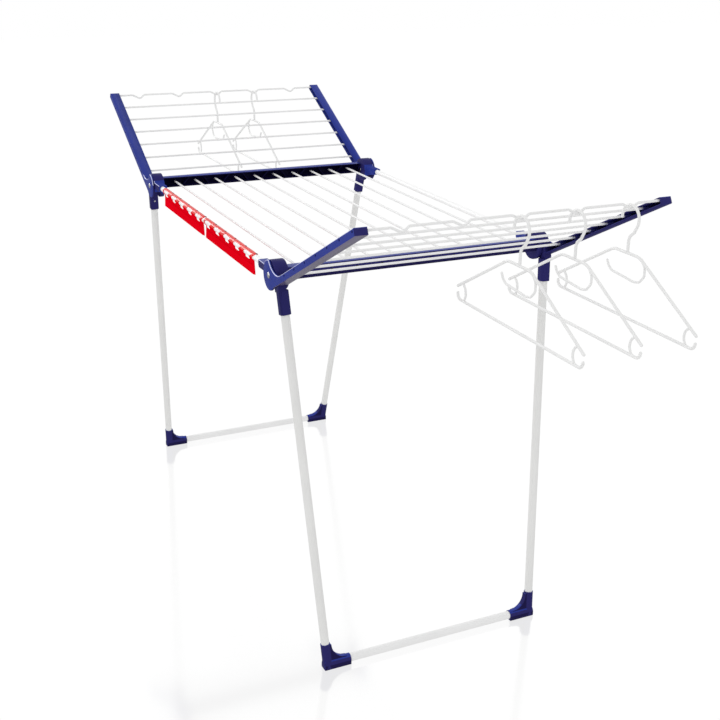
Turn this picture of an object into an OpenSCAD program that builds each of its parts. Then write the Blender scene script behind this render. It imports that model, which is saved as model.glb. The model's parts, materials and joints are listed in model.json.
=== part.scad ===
// Folding clothes drying rack with two wings, two folding leg frames,
// small-item holders on one side tube and coat hangers in the notches of the wings.
// Millimetres, +Z up. The origin is on the floor below the centre of the deck.
// +X is the front end and +Y the right-hand side.

/* [Deck] */
// Distance between the outer faces of the two end bars
deck_len = 932; // [900:2:960]
// Height of the deck rods above the floor
deck_h = 855; // [820:1:900]
// Spacing of the deck rods
rod_pitch = 56; // [54:0.5:57]
// Number of deck rods
deck_rods = 10; // [8:1:10]
// Diameter of every drying rod
rod_d = 5; // [4:0.5:6]
// Height of the end bars
bar_h = 26; // [24:1:27]
// Depth of the end bars' channel
bar_depth = 25; // [22:1:27]
// Distance of each side tube from the middle
side_y = 308.5; // [307:0.5:309]
// Diameter of the side tubes
side_d = 13; // [12:0.5:14]

/* [Wings] */
// Rods in each wing
wing_rods = 7; // [5:1:7]
// Spacing of the wing rods
wing_pitch = 57.7; // [56:0.1:58]
// Distance from the hinge to the first wing rod, along the arm
wing_start = 84.3; // [80:0.1:88]
// How far the rods lie below the hinge, square to the arm
wing_drop = 19; // [18:0.5:20]
// Angle of the raised wings above the deck
wing_tilt = 27.5; // [20:0.5:35]
// Depth of the hanger notches in the outer rods
notch_depth = 9; // [6:0.5:10]

/* [Legs] */
// Outside diameter of the leg tubes
leg_d = 18; // [16:0.5:18]
// Outward lean of the front leg frame
front_splay = 8; // [6:0.5:9]
// Outward lean of the rear leg frame
rear_splay = 10.8; // [9:0.1:12]
// Distance of the feet's tubes from the middle
foot_y = 255; // [245:1:260]

/* [Hangers] */
// Width of a hanger over its ends
hanger_w = 422; // [410:2:430]
// Thickness of a hanger's bar
hanger_d = 5.6; // [5:0.1:6]

/* [Hidden] */
$fn = 48;
NAVY = [0.07, 0.10, 0.38];
WHITE = [0.93, 0.93, 0.94];
RED = [0.85, 0.04, 0.07];
STEEL = [0.75, 0.76, 0.78];
HANGER_SIDES = 8;
ROD_SIDES = 12;
run_gap = 0.06;      // running clearance of a pin in its bore
seat_gap = 0.03;     // clearance of a tube or rod in its seat

deck_x = deck_len / 2;
hinge_x = deck_x - 21.6;
hinge_z = deck_h - 5;
pin_r = 4;

// Corner housing, from the deck's side outwards in y
drum_r = 31;
cheek_in = 291;
cheek_out = 300.6;
plate_in = 318.6;
plate_out = 323.4;
drum_out = plate_in - 0.5;
slot_r = 20.4;       // room for the leg's head inside the drum
lug_mouth = 370;
lug_end = 425;
lug_top = deck_h + 7.7;
lug_bottom = deck_h - 8.5;
lug_cut = 5;         // corner taken off below the lug's mouth

// End bar
bar_wall = 3;
bar_flange = 2.6;
bar_half = cheek_in;
socket_d = 9;
socket_deep = 11;
rod_short = 5;       // how far the deck rods stop short of the wall
rib_t = 2;
rib_lean = 40;
rib_len = (bar_h - 2 - rib_t * sin(rib_lean)) / cos(rib_lean);

// Wing arm, in the wing's own frame: a along the arm, b square to it
arm_top = -wing_drop + 5;
arm_bottom = -wing_drop - 9.4;
arm_h = arm_top - arm_bottom;
arm_in = 298;
arm_wall = 3.2;
arm_flange = 2.4;
arm_root = 33;
wing_last = wing_start + (wing_rods - 1) * wing_pitch;
arm_tip = wing_last + 6.5;
sweep_r = 50;        // concave edge between the hub and the arm
wing_rod_half = plate_out - arm_wall - 1.4;

// Leg frames, in a frame at the hinge whose z runs up along the leg
leg_off = 26.7;      // how far the leg stands outside the hinge
leg_wall = 1.2;
head_r = 19.4;
head_in = 301;
head_out = 318.2;
leg_top_y = 308.5;
sleeve_w = 22;
sleeve_top = -28;
sleeve_bottom = -77;
tube_top = -34;
screw_z = -52.5;
screw_r = 1.5;
screw_head = 2.5;
foot_r = 10.5;
foot_rise = 58;
foot_run = 63;

// Small-item holders on the left side tube
holder_len = 335;
holder_windows = 5;
holder_starts = [-347, -3];

// Notches, shifted so that hangers on the two wings stay clear of each other
notch_pitch = 117.5;
notch_shift = 3.4;

// Hangers: hook, neck, shoulders, bottom bar, struts and inner hook. All of it is
// given from the middle of the rod that the hook hangs on
hangers = [3, 2];    // in the notches from the middle to the right, front and rear
hook_r = 24.4;
hook_gap = 0.8;
hook_x = 1;
hook_z = hanger_d / 2 + rod_d / 2 + hook_gap - hook_r;
neck_x = 2;
yoke_z = -84;
yoke_half = 38;
tip_x = hanger_w / 2 - hanger_d / 2;
tip_z = -180;
low_z = -206;
strut_x = tip_x - 30;
curl_r = 12;

function splay(end) = end > 0 ? front_splay : rear_splay;
function foot_drop(end) =
    (foot_r - hinge_z - leg_off * sin(splay(end))) / cos(splay(end));
function leg_lean(end) = atan((leg_top_y - foot_y) / -foot_drop(end));
function rod_y(k) = (k - (deck_rods + 1) / 2) * rod_pitch;
function end_name(end) = end > 0 ? "front" : "rear";
function side_name(side) = side > 0 ? "right" : "left";

// ---------- frames ----------

// A part drawn for the front end, placed at the front (1) or the rear (-1)
module at_end(end) {
    if (end > 0) children();
    else mirror([1, 0, 0]) children();
}

// A part drawn for the front right corner, placed at any corner
module at_corner(end, side) {
    at_end(end)
        if (side > 0) children();
        else mirror([0, 1, 0]) children();
}

// The wing's frame at the hinge: x runs out along the arm, z square to it
module wing_frame() {
    translate([hinge_x, 0, hinge_z]) rotate([0, -wing_tilt, 0]) children();
}

// The leg's frame at the hinge: z runs up along the leg, x square to it
module leg_frame(end) {
    translate([hinge_x, 0, hinge_z]) rotate([0, -splay(end), 0]) children();
}

// The axis of a leg tube: z runs up the tube from the level of the hinge
module leg_axis(end) {
    leg_frame(end) translate([leg_off, leg_top_y, 0]) rotate([-leg_lean(end), 0, 0]) children();
}

// ---------- small shapes ----------

// A cylinder along y from y0 to y1, about the point x, z
module y_cyl(x, z, r, y0, y1) {
    translate([x, y1, z]) rotate([90, 0, 0]) cylinder(h = y1 - y0, r = r);
}

// A box given by its low and high corners
module span(lo, hi) {
    translate(lo) cube(hi - lo);
}

// A flat shape drawn in x and z, as thick as y0 to y1
module y_plate(y0, y1) {
    translate([0, y1, 0]) rotate([90, 0, 0]) linear_extrude(height = y1 - y0) children();
}

module rounded_square(w, r) {
    square([w, w - 2 * r], center = true);
    square([w - 2 * r, w], center = true);
    for (x = [-1, 1], y = [-1, 1])
        translate([x * (w / 2 - r), y * (w / 2 - r)]) circle(r = r);
}

// A cylinder along x from x0 to x1, about the point y, z
module x_cyl(y, z, r, x0, x1) {
    translate([x0, y, z]) rotate([0, 90, 0]) cylinder(h = x1 - x0, r = r);
}

function unit(v) = v / norm(v);
function dir_in(path, i) = unit(path[max(i, 1)] - path[max(i, 1) - 1]);
function dir_out(path, i) = dir_in(path, min(i + 1, len(path) - 1));

// A round bar of sides flats, bent along a path of [x, z] points in the plane y = 0
module bent_bar(path, d, sides) {
    rings = len(path);
    points = [
        for (i = [0:rings - 1])
            let (m = unit(dir_in(path, i) + dir_out(path, i)), mitre = m * dir_in(path, i))
                for (j = [0:sides - 1])
                    let (w = d / 2 * cos(j * 360 / sides) / mitre)
                        [path[i].x - w * m.y, d / 2 * sin(j * 360 / sides), path[i].y + w * m.x]
    ];
    walls = [
        for (i = [0:rings - 2], j = [0:sides - 1])
            let (a = i * sides, b = a + sides, k = (j + 1) % sides) [a + j, a + k, b + k, b + j]
    ];
    near = [for (j = [0:sides - 1]) sides - 1 - j];
    far = [for (j = [0:sides - 1]) (rings - 1) * sides + j];
    polyhedron(points = points, faces = concat(walls, [near, far]));
}

// Points on an arc about c, from angle t0 to t1 in n steps
function arc(c, r, t0, t1, n) =
    [for (i = [0:n]) let (t = t0 + (t1 - t0) * i / n) [c.x + r * cos(t), c.y + r * sin(t)]];

// ---------- deck ----------

module end_bar(end) {
    z0 = deck_h - bar_h / 2;
    z1 = deck_h + bar_h / 2;
    xi = deck_x - bar_depth;
    xw = deck_x - bar_wall;
    lip = 2;
    color(NAVY) at_end(end) difference() {
        union() {
            span([xw, -bar_half, z0 + lip], [deck_x, bar_half, z1 - lip]);
            span([xi, -bar_half, z0], [deck_x - lip, bar_half, z0 + bar_flange]);
            span([xi, -bar_half, z1 - bar_flange], [deck_x - lip, bar_half, z1]);
            for (z = [z0 + lip, z1 - lip])
                y_cyl(deck_x - lip, z, lip, -bar_half, bar_half);
            // Ribs that lean one way and the other between the rods
            for (k = [1:deck_rods - 1])
                translate([xi + 3, (k - deck_rods / 2) * rod_pitch, deck_h])
                    rotate([k % 2 == 0 ? rib_lean : -rib_lean, 0, 0])
                        span([0, -rib_t / 2, -rib_len / 2], [bar_depth - 5, rib_t / 2, rib_len / 2]);
            for (k = [1:deck_rods])
                x_cyl(rod_y(k), deck_h, socket_d / 2, xw - socket_deep + 1, xw + 1);
        }
        for (k = [1:deck_rods])
            x_cyl(rod_y(k), deck_h, rod_d / 2 + seat_gap, xw - socket_deep, deck_x + 1);
    }
}

module deck_rod(k) {
    reach = deck_x - bar_wall - rod_short;
    color(WHITE) x_cyl(rod_y(k), deck_h, rod_d / 2, -reach, reach);
}

module side_tube(side) {
    reach = lug_mouth + 24;
    color(WHITE) translate([-reach, side * side_y, deck_h]) rotate([0, 90, 0]) difference() {
        cylinder(h = 2 * reach, d = side_d);
        translate([0, 0, -1]) cylinder(h = 2 * reach + 2, d = side_d - 2);
    }
}

// Drum that holds the hinge pin, with the lug that holds the side tube
module corner_housing(end, side) {
    cover_low = 12;
    color(NAVY) at_corner(end, side) difference() {
        union() {
            y_cyl(hinge_x, hinge_z, drum_r, cheek_in, cheek_out);
            // Cover over the leg's head, open below for the leg
            difference() {
                y_cyl(hinge_x, hinge_z, drum_r, cheek_out - 1, drum_out);
                y_cyl(hinge_x, hinge_z, slot_r, cheek_out, plate_out);
                span([hinge_x - 2 * drum_r, cheek_out, hinge_z - 2 * drum_r],
                     [hinge_x + 1, plate_out, hinge_z - cover_low]);
                span([hinge_x, cheek_out, hinge_z - 2 * drum_r],
                     [hinge_x + 2 * drum_r, plate_out, hinge_z + 6]);
            }
            // Lug for the side tube
            difference() {
                span([lug_mouth, cheek_in + 6, lug_bottom], [lug_end, drum_out, lug_top]);
                y_cyl(hinge_x, hinge_z, slot_r, cheek_out, plate_out);
                y_plate(cheek_in, plate_in)
                    polygon([[lug_mouth - 1, lug_bottom - 1], [lug_mouth + lug_cut, lug_bottom - 1],
                             [lug_mouth - 1, lug_bottom + lug_cut]]);
            }
        }
        translate([lug_mouth - 1, side_y, deck_h]) rotate([0, 90, 0])
            cylinder(h = 26, d = side_d + 2 * seat_gap);
        y_cyl(hinge_x, hinge_z, pin_r + seat_gap, cheek_in - 1, cheek_out + 1);
    }
}

// The four steel pins that carry both the wings and the legs
module hinge_pins() {
    color(STEEL) for (end = [1, -1], side = [-1, 1]) at_corner(end, side) {
        y_cyl(hinge_x, hinge_z, pin_r, cheek_in - 1.2, plate_out + 0.8);
        y_cyl(hinge_x, hinge_z, 6.5, plate_out + 0.3, plate_out + 1.6);
        y_cyl(hinge_x, hinge_z, 5, plate_out + 1.6, plate_out + 2.4);
        y_cyl(hinge_x, hinge_z, pin_r + 1, cheek_in - 2.2, cheek_in);
    }
}

// A clip for socks and other small things: a rail over the side tube, short posts on the
// tube's outer side and a comb below them, clear of the folded legs
module small_item_holder(k) {
    x0 = holder_starts[k];
    x1 = x0 + holder_len;
    pitch = holder_len / holder_windows;
    rail_r = side_d / 2 + 1.8;
    comb_y = side_y + 2.6;
    comb_t = 2.4;
    comb_top = deck_h - 5.5;
    comb_bottom = deck_h - 37;
    inset = [14, 2];
    flare = 5;
    window = [8, 48];
    window_top = deck_h + 5.6;
    window_low = deck_h - 11.2;
    color(RED) mirror([0, 1, 0]) difference() {
        union() {
            x_cyl(side_y, deck_h, rail_r, x0, x1);
            y_plate(comb_y, comb_y + comb_t)
                polygon([[x0 + inset[0], comb_top], [x0 + inset[0] - flare, comb_bottom],
                         [x1 - inset[1] + flare, comb_bottom], [x1 - inset[1], comb_top]]);
        }
        x_cyl(side_y, deck_h, side_d / 2 + seat_gap, x0 - 1, x1 + 1);
        // The rail is open towards the deck
        span([x0 - 1, side_y - 2 * rail_r, deck_h - 2 * rail_r], [x1 + 1, side_y - 2.4, deck_h - 1]);
        for (n = [0:holder_windows - 1]) {
            w0 = x0 + n * pitch + window[0];
            w1 = x0 + n * pitch + window[1];
            span([w0, side_y + 2, window_low], [w1, side_y + 2 * rail_r, window_top]);
            span([w0, side_y - rail_r, window_low], [w1, side_y + 3, deck_h - 5]);
        }
    }
}

// ---------- wings ----------

module wing_arm(end, side) {
    color(NAVY) at_corner(end, side) wing_frame() difference() {
        union() {
            // Hub plate with a concave sweep into the arm's top edge
            difference() {
                union() {
                    y_cyl(0, 0, drum_r, plate_in, plate_out);
                    span([0, plate_in, arm_bottom], [62, plate_out, 24]);
                }
                y_cyl(62, arm_top + sweep_r, sweep_r, plate_in - 1, plate_out + 1);
                span([62, plate_in - 1, arm_top], [90, plate_out + 1, 40]);
                difference() {
                    span([0, plate_in - 1, 0], [40, plate_out + 1, 40]);
                    y_cyl(0, 0, drum_r, plate_in - 2, plate_out + 2);
                }
            }
            // Channel, open towards the other arm
            span([arm_root, plate_out - arm_wall, arm_bottom], [arm_tip, plate_out, arm_top]);
            span([arm_root, arm_in, arm_top - arm_flange], [arm_tip, plate_out - 1, arm_top]);
            span([arm_root, arm_in, arm_bottom], [arm_tip, plate_out - 1, arm_bottom + arm_flange]);
            for (a = [arm_root, arm_tip - 2.4])
                span([a, arm_in, arm_bottom], [a + 2.4, plate_out - 1, arm_top]);
            for (k = [0:wing_rods - 1])
                y_cyl(wing_start + k * wing_pitch, -wing_drop, 4.6, arm_in + 8, plate_out - 1);
        }
        y_cyl(0, 0, pin_r + run_gap, plate_in - 1, plate_out + 1);
        for (k = [0:wing_rods - 1])
            y_cyl(wing_start + k * wing_pitch, -wing_drop, rod_d / 2 + seat_gap, arm_in - 1,
                  plate_out + 1);
    }
}

// The outer rod along y: straight, with a lopsided dip at each hanger notch
function notch_path(end) = concat(
    [[-wing_rod_half, 0]],
    [for (n = [-2:2]) let (y = n * notch_pitch + end * notch_shift)
        each [[y - 21, 0], [y - 2.5, -notch_depth], [y + 2.5, -notch_depth], [y + 13, 0]]],
    [[wing_rod_half, 0]]
);

module wing_rod(end, k) {
    a = wing_start + (k - 1) * wing_pitch;
    color(WHITE) at_end(end) wing_frame() {
        if (k < wing_rods)
            y_cyl(a, -wing_drop, rod_d / 2, -wing_rod_half, wing_rod_half);
        else
            // The dips point straight down while the wing is raised
            translate([a, 0, -wing_drop]) rotate([0, wing_tilt, 0]) rotate([0, 0, 90])
                bent_bar(notch_path(end), rod_d, ROD_SIDES);
    }
}

// ---------- legs ----------

module leg_connector(end, side) {
    color(NAVY) at_corner(end, side) difference() {
        union() {
            leg_frame(end) {
                y_cyl(0, 0, head_r, head_in, head_out);
                y_plate(head_in, head_out)
                    polygon([[13.5, -14], [0, 0], [16, -2], [leg_off + 6, -6], [leg_off + 10, -14],
                             [leg_off + 10.5, sleeve_top - 4], [leg_off - 10.5, sleeve_top - 4]]);
            }
            leg_axis(end) translate([0, 0, sleeve_bottom])
                linear_extrude(height = sleeve_top - sleeve_bottom) rounded_square(sleeve_w, 6);
        }
        leg_axis(end) translate([0, 0, sleeve_bottom - 1])
            cylinder(h = tube_top - sleeve_bottom + 1, d = leg_d + 2 * seat_gap);
        leg_frame(end) y_cyl(0, 0, pin_r + run_gap, head_in - 1, head_out + 1);
        leg_axis(end) x_cyl(0, screw_z, screw_r + seat_gap, -sleeve_w, 0);
    }
}

module leg_tube(end, side) {
    bottom = foot_drop(end) / cos(leg_lean(end)) + 16;
    color(WHITE) at_corner(end, side) leg_axis(end) translate([0, 0, bottom]) difference() {
        cylinder(h = tube_top - bottom, d = leg_d);
        translate([0, 0, -1]) cylinder(h = tube_top - bottom + 2, d = leg_d - 2 * leg_wall);
    }
}

// A screw through each connector into the leg tube, on the side that faces the deck
module leg_screws(end) {
    color(STEEL) for (side = [-1, 1]) at_corner(end, side) leg_axis(end) {
        x_cyl(0, screw_z, screw_head, -sleeve_w / 2 - 1.2, -sleeve_w / 2);
        x_cyl(0, screw_z, screw_r, -sleeve_w / 2 - 1, -leg_d / 2 - 0.1);
    }
}

// Moulded corner that joins a leg tube to the bar along the floor
module foot(end, side) {
    fx = hinge_x + leg_off * cos(splay(end)) - foot_drop(end) * sin(splay(end));
    web = 44;
    color(NAVY) at_corner(end, side) difference() {
        union() {
            intersection() {
                leg_frame(end) translate([leg_off, foot_y, foot_drop(end)])
                    rotate([-leg_lean(end), 0, 0]) translate([0, 0, -20])
                        cylinder(h = foot_rise + 20 - foot_r, r = foot_r);
                span([fx - 60, foot_y - 40, 1], [fx + 60, foot_y + 40, 200]);
            }
            y_cyl(fx, foot_r, foot_r, foot_y - foot_run + foot_r, foot_y + foot_r - 2);
            span([fx - foot_r, foot_y - foot_run + foot_r, 0], [fx + foot_r, foot_y + foot_r - 1, foot_r]);
            // Web with a round inner edge
            leg_frame(end) translate([leg_off, foot_y, foot_drop(end)]) difference() {
                span([-6.5, -web, 0], [6.5, 0, web]);
                x_cyl(-web - 1, web + 1, web - foot_r + 2, -foot_r, foot_r);
            }
        }
        leg_axis(end) translate([0, 0, foot_drop(end) / cos(leg_lean(end)) + 15.6])
            cylinder(h = 90, d = leg_d + 2 * seat_gap);
        y_cyl(fx, foot_r, leg_d / 2 + seat_gap, foot_y - foot_run, foot_y - 15);
    }
}

module foot_crossbar(end) {
    fx = hinge_x + leg_off * cos(splay(end)) - foot_drop(end) * sin(splay(end));
    reach = foot_y - 15.5;
    color(WHITE) at_end(end) difference() {
        y_cyl(fx, foot_r, leg_d / 2, -reach, reach);
        y_cyl(fx, foot_r, leg_d / 2 - leg_wall, -reach - 1, reach + 1);
    }
}

// ---------- hangers ----------

function shoulder_z(x) =
    yoke_z + (x - yoke_half) * (tip_z - yoke_z) / (tip_x - yoke_half);

// A coat hanger hung on the outer rod, its hook open towards the deck
module hanger(end, k) {
    y = (k - 1) * notch_pitch + end * notch_shift;
    color(WHITE) at_end(end) wing_frame() translate([wing_last, y, -wing_drop])
        rotate([0, wing_tilt, 0]) translate([0, 0, -notch_depth]) {
            bent_bar(concat(
                arc([hook_x, hook_z], hook_r, 185, -25, 14),
                [[neck_x + 14, hook_z - 24], [neck_x + 3, hook_z - 33], [neck_x, hook_z - 41],
                 [neck_x, yoke_z]]
            ), hanger_d, HANGER_SIDES);
            bent_bar([[-tip_x, tip_z], [-yoke_half, yoke_z], [yoke_half, yoke_z], [tip_x, tip_z]],
                     hanger_d, HANGER_SIDES);
            bent_bar(concat(
                arc([curl_r - tip_x, low_z + curl_r], curl_r, 180, 270, 3),
                arc([tip_x - curl_r, low_z + curl_r], curl_r, 270, 360, 3)
            ), hanger_d, HANGER_SIDES);
            for (s = [-1, 1])
                bent_bar([[s * (strut_x + 9), shoulder_z(strut_x + 9)], [s * (strut_x + 1), tip_z],
                          [s * strut_x, tip_z - 11], [s * (strut_x + 7), low_z]],
                         hanger_d - 1, HANGER_SIDES);
            // Inner hook for a belt or a strap
            bent_bar([[yoke_half + 6, yoke_z - 2], [yoke_half + 17, yoke_z - 15],
                      [yoke_half + 18, yoke_z - 32], [yoke_half + 5, yoke_z - 46],
                      [yoke_half - 11, yoke_z - 49], [-yoke_half - 2, yoke_z - 44],
                      [-yoke_half - 12, yoke_z - 37], [-yoke_half - 17, yoke_z - 28]],
                     hanger_d - 1, HANGER_SIDES);
        }
}

// ---------- what is drawn ----------

for (end = [1, -1]) {
    e = end_name(end);
    end_bar(end);
    foot_crossbar(end);
    leg_screws(end);
    for (k = [1:wing_rods])
        wing_rod(end, k);
    for (k = [1:end > 0 ? hangers[0] : hangers[1]])
        hanger(end, k);
    for (side = [-1, 1]) {
        c = str(e, "_", side_name(side));
        corner_housing(end, side);
        wing_arm(end, side);
        leg_connector(end, side);
        leg_tube(end, side);
        foot(end, side);
    }
}
for (side = [-1, 1])
    side_tube(side);
for (k = [1:deck_rods])
    deck_rod(k);
small_item_holder(0);  // small_item_holder_rear
small_item_holder(1);  // small_item_holder_front
hinge_pins();
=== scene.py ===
import json
import math

import bmesh
import bpy
from mathutils import Matrix, Vector
from mathutils.geometry import delaunay_2d_cdt


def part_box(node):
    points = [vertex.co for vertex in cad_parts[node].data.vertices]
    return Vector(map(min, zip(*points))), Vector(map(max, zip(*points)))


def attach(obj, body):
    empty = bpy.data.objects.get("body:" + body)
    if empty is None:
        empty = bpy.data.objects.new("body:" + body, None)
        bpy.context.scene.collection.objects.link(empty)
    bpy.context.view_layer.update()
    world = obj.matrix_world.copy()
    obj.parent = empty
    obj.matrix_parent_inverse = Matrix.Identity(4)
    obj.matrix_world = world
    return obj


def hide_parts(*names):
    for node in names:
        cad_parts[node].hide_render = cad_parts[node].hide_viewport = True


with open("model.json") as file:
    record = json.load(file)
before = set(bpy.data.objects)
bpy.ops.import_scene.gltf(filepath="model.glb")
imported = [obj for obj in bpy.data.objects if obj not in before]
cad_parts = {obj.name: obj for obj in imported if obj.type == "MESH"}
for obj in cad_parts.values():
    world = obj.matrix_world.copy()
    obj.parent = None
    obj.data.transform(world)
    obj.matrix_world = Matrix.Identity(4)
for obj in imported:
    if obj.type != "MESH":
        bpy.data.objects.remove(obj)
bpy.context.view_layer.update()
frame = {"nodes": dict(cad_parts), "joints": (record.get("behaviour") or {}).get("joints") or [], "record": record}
MM = 0.001
ENDS = {"front": 1, "rear": -1}
SIDES = {"left": -1, "right": 1}
joints = {j["name"]: j for j in frame["joints"]}


# ---------- materials ----------

PATCHES = 9.0           # how fine the slow drift of colour is
ROUGHNESS_DRIFT = 0.08  # how far the roughness goes up and down
RELIEF = 0.0002         # height of the fine grain, in metres


def material(name, base, dark, roughness, grain, bump, specular=0.5, metallic=0.0):
    """A principled material with slow colour drift, a grained roughness and a fine bump."""
    m = bpy.data.materials.new(name)
    m.use_nodes = True
    nt = m.node_tree
    nt.nodes.clear()
    out = nt.nodes.new("ShaderNodeOutputMaterial")
    bsdf = nt.nodes.new("ShaderNodeBsdfPrincipled")
    where = nt.nodes.new("ShaderNodeTexCoord")
    nt.links.new(bsdf.outputs["BSDF"], out.inputs["Surface"])
    drift = nt.nodes.new("ShaderNodeTexNoise")
    drift.inputs["Scale"].default_value = PATCHES
    drift.inputs["Detail"].default_value = 3.0
    nt.links.new(where.outputs["Object"], drift.inputs["Vector"])
    ramp = nt.nodes.new("ShaderNodeValToRGB")
    ramp.color_ramp.elements[0].position = 0.3
    ramp.color_ramp.elements[1].position = 0.7
    ramp.color_ramp.elements[0].color = (*dark, 1)
    ramp.color_ramp.elements[1].color = (*base, 1)
    nt.links.new(drift.outputs["Fac"], ramp.inputs["Fac"])
    nt.links.new(ramp.outputs["Color"], bsdf.inputs["Base Color"])
    fine = nt.nodes.new("ShaderNodeTexNoise")
    fine.inputs["Scale"].default_value = grain
    fine.inputs["Detail"].default_value = 2.0
    nt.links.new(where.outputs["Object"], fine.inputs["Vector"])
    rough = nt.nodes.new("ShaderNodeMapRange")
    rough.inputs["To Min"].default_value = roughness - ROUGHNESS_DRIFT
    rough.inputs["To Max"].default_value = roughness + ROUGHNESS_DRIFT
    nt.links.new(fine.outputs["Fac"], rough.inputs["Value"])
    nt.links.new(rough.outputs["Result"], bsdf.inputs["Roughness"])
    relief = nt.nodes.new("ShaderNodeBump")
    relief.inputs["Strength"].default_value = bump
    relief.inputs["Distance"].default_value = RELIEF
    nt.links.new(fine.outputs["Fac"], relief.inputs["Height"])
    nt.links.new(relief.outputs["Normal"], bsdf.inputs["Normal"])
    bsdf.inputs["Specular IOR Level"].default_value = specular
    bsdf.inputs["Metallic"].default_value = metallic
    return m


NAVY = material("navy_moulding", (0.022, 0.040, 0.290), (0.018, 0.033, 0.250), 0.34,
                grain=1400.0, bump=0.10, specular=0.10)
DEEP = material("navy_moulding_in_shade", (0.025, 0.022, 0.135), (0.020, 0.018, 0.110), 0.38,
                grain=1400.0, bump=0.10, specular=0.06)
# navy darkened as painted shade, for the insides of the channels and end bars
NAVY_PAINTED_SHADE_INSIDE = material("navy_moulding_inside_painted_shade", (0.005, 0.004, 0.035), (0.004, 0.003, 0.026), 0.45,
                grain=1400.0, bump=0.10, specular=0.05)
# pale grey-lilac navy as painted reflection of the floor, for the left arms' undersides
NAVY_PAINTED_REFLECTION = material("navy_moulding_below_painted_reflection", (0.140, 0.118, 0.215), (0.120, 0.100, 0.190), 0.30,
                 grain=1400.0, bump=0.10, specular=0.6)
# near-white navy as painted highlight along the rounded edges that face up and outwards
NAVY_PAINTED_HIGHLIGHT = material("navy_moulding_edges_painted_highlight", (0.66, 0.68, 0.90), (0.56, 0.58, 0.84), 0.25,
                grain=1400.0, bump=0.05, specular=0.4)
# very dark navy as painted shade, for the end bars' lower band and the feet's webs
NAVY_PAINTED_SHADE_LOW = material("navy_moulding_low_painted_shade", (0.013, 0.010, 0.070), (0.010, 0.008, 0.055), 0.40,
                    grain=1400.0, bump=0.10, specular=0.05)
TUBE = material("coated_tube", (0.80, 0.80, 0.79), (0.76, 0.76, 0.75), 0.32,
                grain=700.0, bump=0.05, specular=0.2)
ROD = material("coated_rod", (0.86, 0.86, 0.86), (0.82, 0.82, 0.82), 0.32,
               grain=900.0, bump=0.05, specular=0.1)
RED = material("red_moulding", (0.78, 0.001, 0.010), (0.71, 0.001, 0.008), 0.26,
               grain=1200.0, bump=0.04, specular=0.0)
# paler red as painted highlight and painted light through the thin rail, for the rail over the tube
RED_THIN_PAINTED_HIGHLIGHT = material("red_thin_moulding_painted_highlight", (0.78, 0.040, 0.034), (0.72, 0.028, 0.024), 0.22,
                    grain=1200.0, bump=0.04, specular=0.15)
# near-black red as painted shade, for the small blocks where the rail's arches meet
RED_PAINTED_SHADE = material("red_nicks_painted_shade", (0.10, 0.004, 0.006), (0.07, 0.003, 0.004), 0.45,
                    grain=1200.0, bump=0.04, specular=0.1)
# the tube colour made lighter as painted light, for the side tubes
SIDE_TUBE_PAINTED_LIGHT = material("coated_side_tube_painted_light", (0.94, 0.94, 0.94), (0.91, 0.91, 0.91), 0.32,
                     grain=700.0, bump=0.05, specular=0.2)
STEEL = material("bright_steel", (0.86, 0.86, 0.87), (0.76, 0.76, 0.78), 0.20,
                 grain=1600.0, bump=0.06, metallic=1.0)
HANGER = material("white_moulding", (0.86, 0.86, 0.855), (0.82, 0.82, 0.82), 0.33,
                  grain=1100.0, bump=0.06, specular=0.15)

# the plain navy and its copies with painted shade, painted reflection and painted highlight
MOULDED = [NAVY, DEEP, NAVY_PAINTED_SHADE_INSIDE, NAVY_PAINTED_REFLECTION, NAVY_PAINTED_HIGHLIGHT, NAVY_PAINTED_SHADE_LOW]
SLOT_LOOK = {"navy_plastic": NAVY, "coated_tube": TUBE, "coated_rod": ROD,
             "red_plastic": RED, "steel": STEEL, "white_plastic": HANGER}
slot_of = {s["node"]: s["material_slot"] for s in frame["record"]["subparts"]}
body_of = {n: b for b, names in frame["record"]["behaviour"]["bodies"].items() for n in names}

for name, obj in frame["nodes"].items():
    obj.data.materials.clear()
    look = SLOT_LOOK[slot_of[name]]
    # Side tubes take a lighter copy of the tube colour, painted light where the holders' rails shade them;
    # crossbars take the rods' lighter colour.
    if name.endswith("side_tube"):
        look = SIDE_TUBE_PAINTED_LIGHT
    elif name.endswith("crossbar"):
        look = ROD
    obj.data.materials.append(look)


# ---------- mesh helpers ----------

SHARP_FROM = 35  # degrees between two faces above which their edge looks sharp


def piece(name, bm, looks, node):
    """Makes the finished piece of a bmesh, riding on its body and standing for its CAD node."""
    bmesh.ops.recalc_face_normals(bm, faces=bm.faces)
    mesh = bpy.data.meshes.new(name)
    bm.to_mesh(mesh)
    bm.free()
    obj = bpy.data.objects.new(name, mesh)
    bpy.context.scene.collection.objects.link(obj)
    for look in looks:
        mesh.materials.append(look)
    mesh.shade_smooth()
    mesh.set_sharp_from_angle(angle=math.radians(SHARP_FROM))
    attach(obj, body_of[node])
    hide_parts(node)


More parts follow.
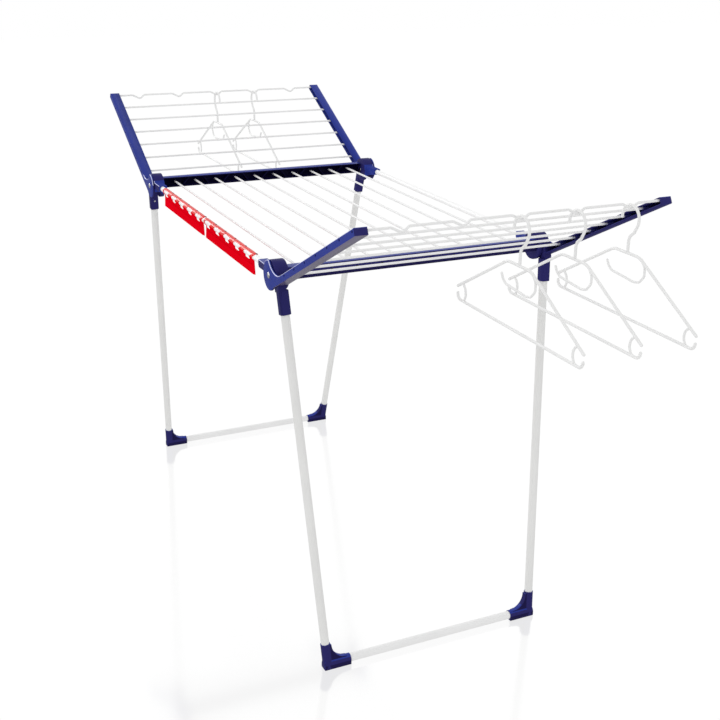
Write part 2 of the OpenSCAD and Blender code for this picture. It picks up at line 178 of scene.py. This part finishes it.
def sweep(bm, path, radius, sides, round_ends):
    """A round bar along a path of points, its ends rounded or flat."""
    pts = [Vector(p) for p in path]
    radii = [radius] * len(pts)
    if round_ends:
        first, last = (pts[0] - pts[1]).normalized(), (pts[-1] - pts[-2]).normalized()
        steps = [(math.sin(t) * radius, math.cos(t) * radius)
                 for t in (math.radians(a) for a in (30, 60, 82))]
        head = [(pts[0] + first * d, r) for d, r in reversed(steps)]
        tail = [(pts[-1] + last * d, r) for d, r in steps]
        pts = [p for p, _ in head] + pts + [p for p, _ in tail]
        radii = [r for _, r in head] + radii + [r for _, r in tail]
    rings = []
    tangent = (pts[1] - pts[0]).normalized()
    normal = tangent.orthogonal().normalized()
    for i, p in enumerate(pts):
        before = (p - pts[i - 1]).normalized() if i else tangent
        after = (pts[i + 1] - p).normalized() if i + 1 < len(pts) else before
        mean = (before + after).normalized()
        normal = (normal - mean * normal.dot(mean)).normalized()
        other = mean.cross(normal)
        bend = before.cross(after)
        mitre = 1 / max(mean.dot(before), 0.5)
        axis = bend.normalized() if bend.length > 1e-6 else None
        ring = []
        for j in range(sides):
            a = 2 * math.pi * j / sides
            v = (normal * math.cos(a) + other * math.sin(a)) * radii[i]
            if axis is not None:
                v = axis * v.dot(axis) + (v - axis * v.dot(axis)) * mitre
            ring.append(bm.verts.new(p + v))
        rings.append(ring)
    for a, b in zip(rings, rings[1:]):
        for j in range(sides):
            k = (j + 1) % sides
            bm.faces.new((a[j], a[k], b[k], b[j]))
    bm.faces.new(list(reversed(rings[0])))
    bm.faces.new(rings[-1])


def rounded(points, radius, steps):
    """The path with each inner corner turned into a curve of about that radius."""
    pts = [Vector(p) for p in points]
    path = [pts[0]]
    for a, p, b in zip(pts, pts[1:], pts[2:]):
        u, v = a - p, b - p
        turn = math.pi - u.angle(v)
        cut = min(radius * math.tan(turn / 2), u.length * 0.48, v.length * 0.48)
        start, end = p + u.normalized() * cut, p + v.normalized() * cut
        for i in range(steps + 1):
            t = i / steps
            path.append(start * (1 - t) ** 2 + p * 2 * t * (1 - t) + end * t ** 2)
    path.append(pts[-1])
    return path


# ---------- looks of the moulded faces: plain navy, painted shade, painted reflection and painted highlight ---

# In these functions lo and hi are the node's box, c is the middle of a face, n its normal,
# and out how squarely it faces away from the rack's middle line, from -1 to 1.
LOW_EDGE = 6.5 * MM     # height of the end bars' lower band of painted shade
SKIN = 1.5 * MM         # a face nearer than this to the widest plane belongs to the outer wall
WALL = 5.5 * MM         # a face nearer than this to it is the inside of that wall
HUB = 33 * MM           # how far the wing's hub plate reaches outwards from its hinge
LUG_END = 419 * MM      # the corner housings' drums lie outwards of this, their lugs inwards
WEB_AREA = 300 * MM * MM  # only the flat web of a foot has upright faces as large as this


def end_bar_look(lo, hi, c, n):
    """Painted shade on the outer face with a darker lower band of painted shade, plain navy on top, deep painted
    shade inside.
    """
    end = 1 if lo[0] + hi[0] > 0 else -1
    from_outside = max(abs(lo[0]), abs(hi[0])) - abs(c.x)
    if from_outside < 2.2 * MM and n.x * end > 0.3:
        return DEEP if c.z > lo[2] + LOW_EDGE else NAVY_PAINTED_SHADE_LOW
    on_top = n.z > 0.5 and c.z > hi[2] - 1.2 * MM
    return NAVY if on_top else NAVY_PAINTED_SHADE_INSIDE


def arm_look(lo, hi, c, n, out, bevelled):
    """Plain navy outside and on top, painted highlight along its rounded edges, painted reflection under the left
    arms, painted shade under the right ones and elsewhere, deep painted shade in the channel.
    """
    from_outside = max(abs(lo[1]), abs(hi[1])) - abs(c.y)
    past_hub = abs(c.x) > abs(joints["front_wing_fold"]["pos_m"][0]) + HUB
    # Bevels facing up, and on the rear arms also those facing down, take the painted highlight.
    catches_light = n.z > 0.12 or (past_hub and c.x < 0 and n.z < -0.12)
    if bevelled and out > 0.12 and catches_light:
        return NAVY_PAINTED_HIGHLIGHT
    if out > 0.5 and from_outside < SKIN:
        return NAVY
    # Undersides past the hub: painted reflection under the left arms, painted shade under the right ones.
    if past_hub and n.z < -0.5 and c.z < hi[2]:
        return NAVY_PAINTED_REFLECTION if c.y < 0 else DEEP
    if out < -0.3 and from_outside < WALL and past_hub:
        return NAVY_PAINTED_SHADE_INSIDE
    return NAVY if n.z > 0.6 else DEEP


def housing_look(c, n, out, bevelled):
    """A drum in painted shade and a plain navy lug, with painted highlight along the lug's rounded edges."""
    if abs(c.x) > LUG_END:
        return DEEP
    return NAVY_PAINTED_HIGHLIGHT if bevelled and out > 0.12 and n.z > 0.12 else NAVY


def foot_look(n, area):
    """Plain navy on top, painted shade on its sides, and darker painted shade on the web between its two sleeves.
    """
    if abs(n.x) > 0.9 and abs(n.y) < 0.05 and area > WEB_AREA:
        return NAVY_PAINTED_SHADE_LOW
    return NAVY if n.z > 0.7 else DEEP


def shade_of(node, lo, hi, f, bevelled):
    """Which of the navy looks, plain or with painted light and shade, a face has, by what it is part of and the
    way it faces.
    """
    c = f.calc_center_median()
    n = f.normal
    out = n.y * (1 if c.y > 0 else -1)
    if node.endswith("end_bar"):
        return end_bar_look(lo, hi, c, n)
    if node.startswith("wing_arm"):
        return arm_look(lo, hi, c, n, out, bevelled)
    if node.startswith("corner_housing"):
        return housing_look(c, n, out, bevelled)
    if node.startswith("foot"):
        return foot_look(n, f.calc_area())
    return DEEP


def room(e, f):
    """How wide the face is, straight across it from the edge, up to a metre."""
    a, b = (v.co for v in e.verts)
    along = (b - a).normalized()
    across = f.normal.cross(along)
    if across.dot(f.calc_center_median() - a) < 0:
        across = -across
    best = 1.0
    for t in (0.1, 0.5, 0.9):
        p = a.lerp(b, t)
        for g in f.edges:
            if g is e:
                continue
            u, v = (w.co - p for w in g.verts)
            u0, v0 = u.dot(along), v.dot(along)
            if (u0 > 0) != (v0 > 0):
                d = u.lerp(v, u0 / (u0 - v0)).dot(across)
                if d > 1e-5:
                    best = min(best, d)
    return best


def moulding(node, width, looks=MOULDED, shortest=1.2):
    """A copy of a CAD node with its long sharp edges rounded, where there is room, by width mm."""
    bm = bmesh.new()
    bm.from_mesh(frame["nodes"][node].data)
    bmesh.ops.remove_doubles(bm, verts=bm.verts, dist=1e-6)
    bmesh.ops.dissolve_limit(bm, angle_limit=math.radians(1.0), verts=bm.verts, edges=bm.edges)
    lo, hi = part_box(node)
    # End bars are cut at the top of their band of painted shade, so its faces can take the darker look.
    if node.endswith("end_bar"):
        bmesh.ops.bisect_plane(bm, geom=bm.verts[:] + bm.edges[:] + bm.faces[:],
                               plane_co=(0, 0, lo[2] + LOW_EDGE), plane_no=(0, 0, 1))
    sharp = [e for e in bm.edges if len(e.link_faces) == 2
             and e.calc_face_angle(0) > math.radians(32) and e.calc_length() > shortest * MM
             and min(room(e, f) for f in e.link_faces) > 2.3 * width * MM]
    made = bmesh.ops.bevel(bm, geom=sharp, offset=width * MM, segments=2, profile=0.5,
                           affect="EDGES", clamp_overlap=False, loop_slide=True)
    bm.normal_update()
    edges = set(made["faces"])
    if looks is MOULDED:
        for f in bm.faces:
            f.material_index = MOULDED.index(shade_of(node, lo, hi, f, f in edges))
    bmesh.ops.triangulate(bm, faces=[f for f in bm.faces if len(f.verts) > 4])
    piece(node + "_moulding", bm, looks, node)


# ---------- plastic mouldings ----------

for end in ENDS:
    moulding(end + "_end_bar", 0.7)
    for side in SIDES:
        tag = f"{end}_{side}"
        moulding("corner_housing_" + tag, 1.2)
        moulding("wing_arm_" + tag, 1.4)
        moulding("leg_connector_" + tag, 0.9)
        moulding("foot_" + tag, 1.0)


# ---------- rods and hangers ----------

# The middle of an outer rod where its first hanger hangs
PIN = {e: Vector(joints[e + "_hanger_1_swing"]["pos_m"]) for e in ENDS}
# The sizes below are in mm, and heights are from that point
ROD_RADIUS = 2.5
DIP = 9.0                                   # depth of the notches in the outer rods
NOTCHES = [117.5 * n for n in range(-2, 3)]
NOTCH_SHIFT = 3.4                           # all the notches lie this far to one side


def at_rod(end, points):
    """Points given in mm from the middle of a notch's rod, x outwards, as points in the frame."""
    return [Vector((PIN[end].x + ENDS[end] * x * MM, PIN[end].y + y * MM, PIN[end].z + z * MM))
            for x, y, z in points]


def outer_rod(end):
    """The outermost rod of a wing, bent down at each notch."""
    node = end + "_wing_rod_7"
    lo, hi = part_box(node)
    half = (hi[1] - lo[1]) / 2 / MM
    shift = ENDS[end] * NOTCH_SHIFT
    path = [(-half, DIP)]
    for y in (notch + shift for notch in NOTCHES):
        path += [(y - 21, DIP), (y - 2.5, 0), (y + 2.5, 0), (y + 13, DIP)]
    path.append((half, DIP))
    x, z = PIN[end].x, PIN[end].z
    bm = bmesh.new()
    bent = rounded([(x, y * MM, z + d * MM) for y, d in path], 7 * MM, 5)
    sweep(bm, bent, ROD_RADIUS * MM, 20, False)
    piece(node + "_bent", bm, [ROD], node)


def arc(cx, cz, r, t0, t1, n):
    """Points of an arc from t0 to t1 degrees, in n steps."""
    return [(cx + r * math.cos(math.radians(t0 + (t1 - t0) * i / n)),
             cz + r * math.sin(math.radians(t0 + (t1 - t0) * i / n))) for i in range(n + 1)]


BAR = 2.8                                   # radii of a hanger's thick and thin bars
THIN = 2.3
YOKE = 38.0                                 # half the flat stretch at the top of the shoulders
YOKE_Z = -84.0
TIP = 208.2                                 # half its width
TIP_Z = -180.0
LOW = -206.0                                # its low bar
STRUT = 178.2                               # where the struts stand
CURL = 12                                   # radius of the low bar's ends
HOOK_R = 24.4
HOOK_Z = BAR + ROD_RADIUS + 0.8 - HOOK_R    # the hook hangs 0.8 mm clear of its rod


def shoulder_z(x):
    """Height of the sloping shoulder at a distance from the middle."""
    return YOKE_Z + (x - YOKE) * (TIP_Z - YOKE_Z) / (TIP - YOKE)


def hanger(end, k):
    """A coat hanger: hook, shoulders, low bar with curled ends, struts and an inner hook."""
    node = f"{end}_hanger_{k}"
    y = (Vector(joints[node + "_swing"]["pos_m"]).y - PIN[end].y) / MM
    bm = bmesh.new()

    def bar(points, radius, bend, ends):
        path = rounded(at_rod(end, [(px, y, pz) for px, pz in points]), bend * MM, 6)
        sweep(bm, path, radius * MM, 18, ends)

    hook = arc(1, HOOK_Z, HOOK_R, 185, -25, 30)
    neck = [(16, HOOK_Z - 24), (5, HOOK_Z - 33), (2, HOOK_Z - 41), (2, YOKE_Z)]
    bar(hook + neck, BAR, 9, True)
    bar([(-TIP, TIP_Z), (-YOKE, YOKE_Z), (YOKE, YOKE_Z), (TIP, TIP_Z)], BAR, 40, True)
    low = (arc(CURL - TIP, LOW + CURL, CURL, 180, 270, 8)
           + arc(TIP - CURL, LOW + CURL, CURL, 270, 360, 8))
    bar(low, BAR, 4, True)
    for s in (-1, 1):
        bar([(s * (STRUT + 12), shoulder_z(STRUT + 12)), (s * (STRUT + 2), TIP_Z + 1),
             (s * (STRUT - 1), TIP_Z - 12), (s * (STRUT + 5), LOW + 2), (s * (STRUT + 13), LOW)],
            THIN, 14, False)
    bar([(44, -86), (55, -99), (56, -116), (43, -130), (27, -133), (-40, -128), (-50, -121),
         (-55, -112)], THIN, 12, True)
    piece(node + "_moulded", bm, [HANGER], node)


for end in ENDS:
    outer_rod(end)
for node in [n for n in frame["nodes"] if "_hanger_" in n]:
    hanger(node.split("_")[0], int(node.split("_")[-1]))


# ---------- rivets and screws ----------

def lathe(bm, at, axis, profile, sides=28):
    """A turned part: profile is (distance along the axis, radius) in mm."""
    axis = Vector(axis).normalized()
    u = axis.orthogonal().normalized()
    v = axis.cross(u)
    rings = []
    for d, r in profile:
        c = Vector(at) + axis * d * MM
        rings.append([bm.verts.new(c + (u * math.cos(t) + v * math.sin(t)) * r * MM)
                      for t in (2 * math.pi * j / sides for j in range(sides))])
    for a, b in zip(rings, rings[1:]):
        for j in range(sides):
            bm.faces.new((a[j], a[(j + 1) % sides], b[(j + 1) % sides], b[j]))
    bm.faces.new(list(reversed(rings[0])))
    bm.faces.new(rings[-1])


def rivets():
    """Each has a domed head outside the wing, a shank, and a washer behind the housing's cheek."""
    bm = bmesh.new()
    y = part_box("hinge_pins")[1][1]
    for end in ENDS:
        hinge = Vector(joints[end + "_wing_fold"]["pos_m"])
        for side in SIDES.values():
            lathe(bm, (hinge.x, side * y, hinge.z), (0, -side, 0),
                  [(0, 1.2), (0.15, 2.6), (0.6, 4.4), (1.3, 5.8), (1.9, 6.4), (2.1, 6.2),
                   (2.15, 4.0), (32.5, 4.0), (34.8, 4.0), (34.85, 4.9), (36.6, 4.9), (37.0, 4.4)])
    piece("hinge_rivets", bm, [STEEL], "hinge_pins")


rivets()
for end in ENDS:
    moulding(end + "_leg_screws", 0.5, looks=[STEEL], shortest=0.05)


# ---------- small-item holders ----------

def inside(p, ring):
    """Whether the point is inside the closed outline."""
    hit = False
    for a, b in zip(ring, ring[1:] + ring[:1]):
        if (a[1] > p[1]) != (b[1] > p[1]):
            if p[0] < (b[0] - a[0]) * (p[1] - a[1]) / (b[1] - a[1]) + a[0]:
                hit = not hit
    return hit


def panel(bm, outline, holes, grid, near, far, look):
    """A flat shape with holes, wrapped by near() and far() into a plate with two faces and an edge."""
    points, edges = [], []
    for ring in [outline] + holes:
        n = len(points)
        points += [Vector(p) for p in ring]
        edges += [(n + i, n + (i + 1) % len(ring)) for i in range(len(ring))]
    points += [Vector(p) for p in grid
               if inside(p, outline) and not any(inside(p, h) for h in holes)]
    verts, _, faces, _, _, _ = delaunay_2d_cdt(points, edges, [], 0, 1e-5)
    kept = []
    for f in faces:
        c = sum((verts[i] for i in f), Vector((0, 0))) / len(f)
        if inside(c, outline) and not any(inside(c, h) for h in holes):
            kept.append(tuple(f))
    a = [bm.verts.new(near(*v)) for v in verts]
    b = [bm.verts.new(far(*v)) for v in verts]
    count = {}
    for f in kept:
        for i, j in zip(f, f[1:] + f[:1]):
            count[(i, j)] = count.get((i, j), 0) + 1
        mat = look(*(sum((verts[i] for i in f), Vector((0, 0))) / len(f)))
        bm.faces.new([a[i] for i in f]).material_index = mat
        bm.faces.new([b[i] for i in reversed(f)]).material_index = mat
    for i, j in count:
        if (j, i) not in count:
            mat = look(*((verts[i] + verts[j]) / 2))
            bm.faces.new((a[j], a[i], b[i], b[j])).material_index = mat
    for v in a + b:
        if not v.link_faces:
            bm.verts.remove(v)


ARCHES = 5
PITCH = 67.0        # length of an arch
RAIL_STARTS = 126   # where the rail's inner edge is, in degrees up from the tube's outer side
STEP = 8.0          # spacing of the comb's slots and teeth
TEETH = 40


def holder(node):
    """A clip on the side tube: a rail of arches around the tube and a comb hanging below it."""
    lo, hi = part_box(node)
    tube_lo, tube_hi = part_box("left_side_tube")
    ty = (tube_lo[1] + tube_hi[1]) / 2
    tz = (tube_lo[2] + tube_hi[2]) / 2
    x0 = lo[0]
    length = ARCHES * PITCH
    inner = (tube_hi[2] - tz) / MM + 0.05
    outer = (hi[2] - tz) / MM
    turn = 360 / math.pi / (inner + outer)  # degrees for each mm around the tube

    def around(degrees):
        return (RAIL_STARTS - degrees) / turn

    def wrapped(depth):
        def place(u, v):
            # v is the way around from the tube's inner side, over its top and down outside
            t = math.radians(RAIL_STARTS - v * turn)
            hump = math.sin(math.pi * (u % PITCH) / PITCH) ** 0.5 * 0.6 if depth else 0
            r = ((outer - 0.6 + hump) if depth else inner) * MM
            return (x0 + u * MM, ty - r * math.cos(t), tz + r * math.sin(t))
        return place

    # Rail and posts: five arches whose posts lean, the windows between them open below
    top = around(48)
    low = around(-30)
    full = around(-60)
    outline = [(0, 0)]
    for u in (n * PITCH for n in range(1, ARCHES)):
        outline += [(u - 1.6, 0), (u - 0.8, 4.5), (u + 0.8, 4.5), (u + 1.6, 0)]
    outline += [(length, 0), (length, top), (length - 6, top + 5), (length - 8, low),
                (length - 5, full)]
    for u in (n * PITCH for n in reversed(range(ARCHES))):
        outline += [(u + 41, full), (u + 41.5, low + 1), (u + 45, low - 3), (u + 53, top + 3),
                    (u + 54, top + 1.2), (u + 52, top), (u + 14, top), (u + 10, top + 1),
                    (u + 8, top + 4), (u + 8, low - 2), (u + 10, full)]
    outline += [(6, full), (6, low), (3, top + 5), (0, top)]
    grid = [(2.5 + 5 * i, 0.75 + 1.5 * j)
            for i in range(int(length / 5)) for j in range(int(full / 1.5))]
    # the rail down to 5 degrees above the tube's outer side takes the paler red: painted highlight and painted
    # light through the thin plastic
    thin = around(5)
    bm = bmesh.new()
    panel(bm, outline, [], grid, wrapped(1), wrapped(0), lambda u, v: 1 if v < thin else 0)

    # The comb below, with slots along its top and fine teeth along its lower edge
    z0 = (lo[2] - tz) / MM
    z1 = -5.8
    sill = -11.2

    def flat(out):
        return lambda u, v: (x0 + u * MM, ty - out * MM, tz + v * MM)

    comb = [(14, z1), (9, z0 + 1.4)]
    for u in (11 + STEP * i for i in range(TEETH)):
        comb += [(u + 1.6, z0), (u + 6.4, z0), (u + 7.6, z0 + 1.4)]
    comb += [(length + 3, z0 + 1.4), (length - 2, z1)]
    for u in (n * PITCH for n in reversed(range(ARCHES))):
        comb += [(u + 41, z1), (u + 40, sill + 1), (u + 38, sill), (u + 16, sill)]
        comb += [(u + 11, sill + 1), (u + 10, z1)] if u else [(14.2, sill + 1)]
    slots = [[(u, -13.2), (u + 3.8, -13.2), (u + 3.8, -18.8), (u, -18.8)]
             for u in (19 + STEP * i for i in range(TEETH - 1))]
    panel(bm, comb, slots, [], flat(5.0), flat(2.7), lambda u, v: 0)

    # Small dark blocks on top of the rail where its arches meet, coloured as painted shade at each arch's end
    for n in range(1, ARCHES + 1):
        u = n * PITCH - (1.8 if n < ARCHES else 2.2)
        ring = [bm.verts.new((x0 + (u + du) * MM, ty - r * MM * math.cos(t), tz + r * MM * math.sin(t)))
                for du in (-1.4, 1.4) for r in (outer - 0.8, outer + 0.35)
                for t in (math.radians(96), math.radians(122))]
        for f in ((0, 1, 3, 2), (4, 6, 7, 5), (0, 2, 6, 4), (1, 5, 7, 3), (2, 3, 7, 6),
                  (0, 4, 5, 1)):
            bm.faces.new([ring[i] for i in f]).material_index = 2
    piece(node + "_clip", bm, [RED, RED_THIN_PAINTED_HIGHLIGHT, RED_PAINTED_SHADE], node)


for node in ("small_item_holder_rear", "small_item_holder_front"):
    holder(node)


# ---------- scene ----------

def camera():
    """Placed by the view that the photograph was taken from."""
    at = (2.4508, -1.0692, 1.4904)
    yaw = 2.6999
    pitch = 0.3657
    roll = 0.0163
    look = Vector((math.cos(yaw) * math.cos(pitch), math.sin(yaw) * math.cos(pitch),
                   -math.sin(pitch)))
    right = Vector((math.sin(yaw), -math.cos(yaw), 0))
    up = right.cross(look)
    r = right * math.cos(roll) + up * math.sin(roll)
    u = up * math.cos(roll) - right * math.sin(roll)
    cam = bpy.data.objects.new("camera", bpy.data.cameras.new("camera"))
    bpy.context.scene.collection.objects.link(cam)
    cam.matrix_world = Matrix((
        (r.x, u.x, -look.x, at[0]), (r.y, u.y, -look.y, at[1]),
        (r.z, u.z, -look.z, at[2]), (0, 0, 0, 1)))
    cam.data.lens = 56.17
    cam.data.sensor_width = 36
    cam.data.clip_start = 0.05
    cam.data.clip_end = 60
    bpy.context.scene.camera = cam


def area(name, at, aim, size, watts):
    """A rectangular softbox aimed at a point."""
    light = bpy.data.lights.new(name, "AREA")
    light.shape = "RECTANGLE"
    light.size, light.size_y = size
    light.energy = watts
    obj = bpy.data.objects.new(name, light)
    bpy.context.scene.collection.objects.link(obj)
    obj.location = at
    obj.rotation_mode = "QUATERNION"
    obj.rotation_quaternion = (Vector(aim) - Vector(at)).to_track_quat("-Z", "Y")


def background(nt, strength):
    """A white background shader."""
    bg = nt.nodes.new("ShaderNodeBackground")
    bg.inputs["Color"].default_value = (1, 1, 1, 1)
    bg.inputs["Strength"].default_value = strength
    return bg


def by_ray(nt, ray, plain, chosen):
    """One shader for the rays named, another for the rest."""
    path = nt.nodes.new("ShaderNodeLightPath")
    mix = nt.nodes.new("ShaderNodeMixShader")
    nt.links.new(path.outputs[ray], mix.inputs["Fac"])
    nt.links.new(plain.outputs[0], mix.inputs[1])
    nt.links.new(chosen.outputs[0], mix.inputs[2])
    return mix


def glow(nt, strength):
    """A white emission shader."""
    light = nt.nodes.new("ShaderNodeEmission")
    light.inputs["Color"].default_value = (1, 1, 1, 1)
    light.inputs["Strength"].default_value = strength
    return light


def white_room():
    """White to the eye and in reflections; its light comes mostly from above."""
    bpy.context.scene.view_settings.view_transform = "Standard"
    world = bpy.data.worlds.new("studio")
    bpy.context.scene.world = world
    world.use_nodes = True
    nt = world.node_tree
    nt.nodes.clear()
    out = nt.nodes.new("ShaderNodeOutputWorld")
    light = background(nt, 1.0)
    where = nt.nodes.new("ShaderNodeTexCoord")
    parts = nt.nodes.new("ShaderNodeSeparateXYZ")
    height = nt.nodes.new("ShaderNodeMapRange")
    height.inputs["To Min"].default_value = 0.84
    height.inputs["To Max"].default_value = 0.96
    nt.links.new(where.outputs["Generated"], parts.inputs["Vector"])
    nt.links.new(parts.outputs["Z"], height.inputs["Value"])
    nt.links.new(height.outputs["Result"], light.inputs["Strength"])
    lit = by_ray(nt, "Is Glossy Ray", light, background(nt, 1.0))
    seen = by_ray(nt, "Is Camera Ray", lit, background(nt, 1.0))
    nt.links.new(seen.outputs[0], out.inputs["Surface"])


def floor_look():
    """Pale and a little glossy to the eye, and an even light to everything above it."""
    look = bpy.data.materials.new("pale_floor")
    look.use_nodes = True
    nt = look.node_tree
    nt.nodes.clear()
    out = nt.nodes.new("ShaderNodeOutputMaterial")
    shine = nt.nodes.new("ShaderNodeBsdfAnisotropic")
    shine.inputs["Color"].default_value = (0.21, 0.21, 0.21, 1)
    shine.inputs["Roughness"].default_value = 0.12
    both = nt.nodes.new("ShaderNodeAddShader")
    nt.links.new(glow(nt, 0.80).outputs[0], both.inputs[0])
    nt.links.new(shine.outputs[0], both.inputs[1])
    dull = by_ray(nt, "Is Glossy Ray", glow(nt, 0.90), glow(nt, 0.35))
    mix = by_ray(nt, "Is Camera Ray", dull, both)
    nt.links.new(mix.outputs[0], out.inputs["Surface"])
    return look


def pale_floor():
    bm = bmesh.new()
    bmesh.ops.create_grid(bm, x_segments=8, y_segments=8, size=14)
    mesh = bpy.data.meshes.new("floor")
    bm.to_mesh(mesh)
    bm.free()
    mesh.materials.append(floor_look())
    floor = bpy.data.objects.new("floor", mesh)
    bpy.context.scene.collection.objects.link(floor)


camera()
white_room()
pale_floor()
area("key", (0.6, -4.4, 2.6), (0.1, 0, 0.8), (3.0, 2.4), 14)
area("rim", (-4.6, -1.7, 2.6), (0, 0, 0.9), (1.6, 1.2), 45)
